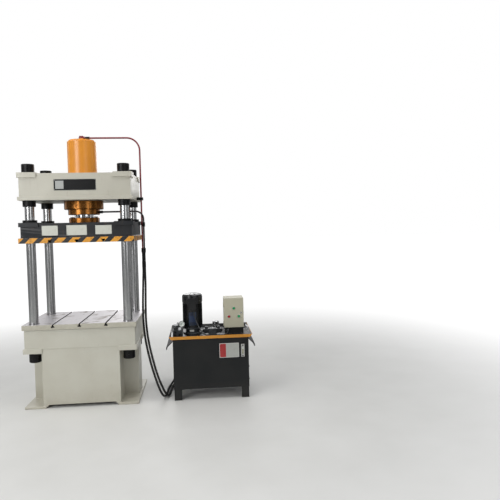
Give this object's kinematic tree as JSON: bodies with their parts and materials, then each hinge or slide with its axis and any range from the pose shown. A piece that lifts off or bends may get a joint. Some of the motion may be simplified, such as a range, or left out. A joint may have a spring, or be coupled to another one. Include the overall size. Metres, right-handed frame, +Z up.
{
  "type": "four-column hydraulic press with power unit",
  "caption": "Down-stroking hydraulic press: slotted bed, guided slide and top cylinder on round columns, with pipes and hoses to a free-standing oil power unit.",
  "frame": {"origin": "centre of the bounding box on the floor, hoses left out", "axes": "+Z up, -Y is the front where the operator stands, +X is the side on which the power unit stands"},
  "size_m": [2.0894, 0.725, 2.4933],
  "materials": {
    "frame_paint": "grey-beige machine enamel, soft gloss",
    "slide_paint": "dark grey machine enamel",
    "ground_steel": "milled and ground steel plate",
    "polished_column": "ground and polished bar",
    "black_oxide": "black oxide with oil",
    "cylinder_paint": "yellow-orange enamel",
    "oily_steel": "dark turned steel, oil-stained",
    "chrome": "hard chrome plate",
    "pipe_paint": "maroon enamel on tube",
    "hose_rubber": "matt black rubber cover",
    "tank_paint": "black enamel on sheet steel",
    "tray_paint": "yellow-orange enamel on sheet steel",
    "motor_paint": "gloss black enamel",
    "cast_grey": "bare and painted grey iron",
    "relay_plastic": "moulded black plastic",
    "filter_mesh": "woven wire mesh",
    "dial_white": "white enamelled dial in a steel case",
    "pointer_black": "matt black",
    "clear_glass": "clear flat glass",
    "box_paint": "beige-grey powder coat",
    "green_plastic": "green moulded cap",
    "red_plastic": "red moulded cap"
  },
  "bodies": {
    "frame": {"bed": "frame_paint", "crown": "frame_paint", "table_bolster": "ground_steel", "column_1": "polished_column", "column_2": "polished_column", "column_3": "polished_column", "column_4": "polished_column", "top_nut_1": "black_oxide", "top_nut_2": "black_oxide", "top_nut_3": "black_oxide", "top_nut_4": "black_oxide", "crown_nut_1": "black_oxide", "crown_nut_2": "black_oxide", "crown_nut_3": "black_oxide", "crown_nut_4": "black_oxide", "port_elbow": "black_oxide", "pipe_clamp": "black_oxide", "cylinder_barrel": "cylinder_paint", "cylinder_lock_ring": "oily_steel", "cylinder_gland": "oily_steel", "filler_breather": "chrome", "upper_pipe": "pipe_paint", "lower_pipe": "pipe_paint", "pressure_hose": "hose_rubber", "return_hose": "hose_rubber", "motor_cable": "hose_rubber", "tank_body": "tank_paint", "clean_out_cover": "tank_paint", "box_stand": "tank_paint", "tank_tray": "tray_paint", "motor_housing": "motor_paint", "fan_cowl": "motor_paint", "motor_terminal_box": "motor_paint", "pump_adaptor": "cast_grey", "gear_pump": "cast_grey", "valve_manifold": "cast_grey", "directional_valve": "cast_grey", "level_gauge": "cast_grey", "contactor_plate": "relay_plastic", "suction_strainer": "filter_mesh", "gauge_case": "dial_white", "gauge_glass": "clear_glass", "box_body": "box_paint"},
    "slide": {"slide_body": "slide_paint", "slide_bolster": "ground_steel", "guide_bush_1": "black_oxide", "guide_bush_2": "black_oxide", "guide_bush_3": "black_oxide", "guide_bush_4": "black_oxide", "rod_flange": "oily_steel", "piston_rod": "chrome", "piston": "oily_steel"},
    "rotor": {"motor_rotor": "oily_steel"},
    "pointer": {"gauge_pointer": "pointer_black"},
    "knob": {"relief_knob": "relay_plastic"},
    "door": {"box_door": "box_paint"},
    "lock": {"door_lock": "chrome"},
    "button_down_cap": {"button_down": "green_plastic"},
    "button_up_cap": {"button_up": "green_plastic"},
    "button_stop_cap": {"button_stop": "red_plastic"}
  },
  "joints": [
    {"name": "slide_travel", "type": "slide", "parent": "frame", "child": "slide", "axis": [0, 0, 1], "range_m": [-0.5, 0.01]},
    {"name": "motor_spin", "type": "hinge", "parent": "frame", "child": "rotor", "pos_m": [0.46575, -0.0675, 0.75], "axis": [0, 0, 1], "continuous": true},
    {"name": "gauge_needle", "type": "hinge", "parent": "frame", "child": "pointer", "pos_m": [0.36425, -0.202, 0.694], "axis": [0, 1, 0], "range_deg": [0, 270], "stiffness_Nm_per_rad": 0.002},
    {"name": "relief_knob_turn", "type": "hinge", "parent": "frame", "child": "knob", "pos_m": [0.30775, -0.2368, 0.6643], "axis": [0, 1, 0], "range_deg": [-720, 720]},
    {"name": "box_door_hinge", "type": "hinge", "parent": "frame", "child": "door", "pos_m": [0.76225, -0.192, 0.781], "axis": [0, 0, -1], "range_deg": [0, 110]},
    {"name": "door_lock_turn", "type": "hinge", "parent": "door", "child": "lock", "pos_m": [0.92975, -0.21, 0.781], "axis": [0, -1, 0], "range_deg": [0, 90]},
    {"name": "button_down_press", "type": "slide", "parent": "door", "child": "button_down_cap", "axis": [0, 1, 0], "range_m": [0, 0.004], "stiffness_N_per_m": 300},
    {"name": "button_up_press", "type": "slide", "parent": "door", "child": "button_up_cap", "axis": [0, 1, 0], "range_m": [0, 0.004], "stiffness_N_per_m": 300},
    {"name": "button_stop_press", "type": "slide", "parent": "door", "child": "button_stop_cap", "axis": [0, 1, 0], "range_m": [0, 0.004], "stiffness_N_per_m": 300}
  ]
}
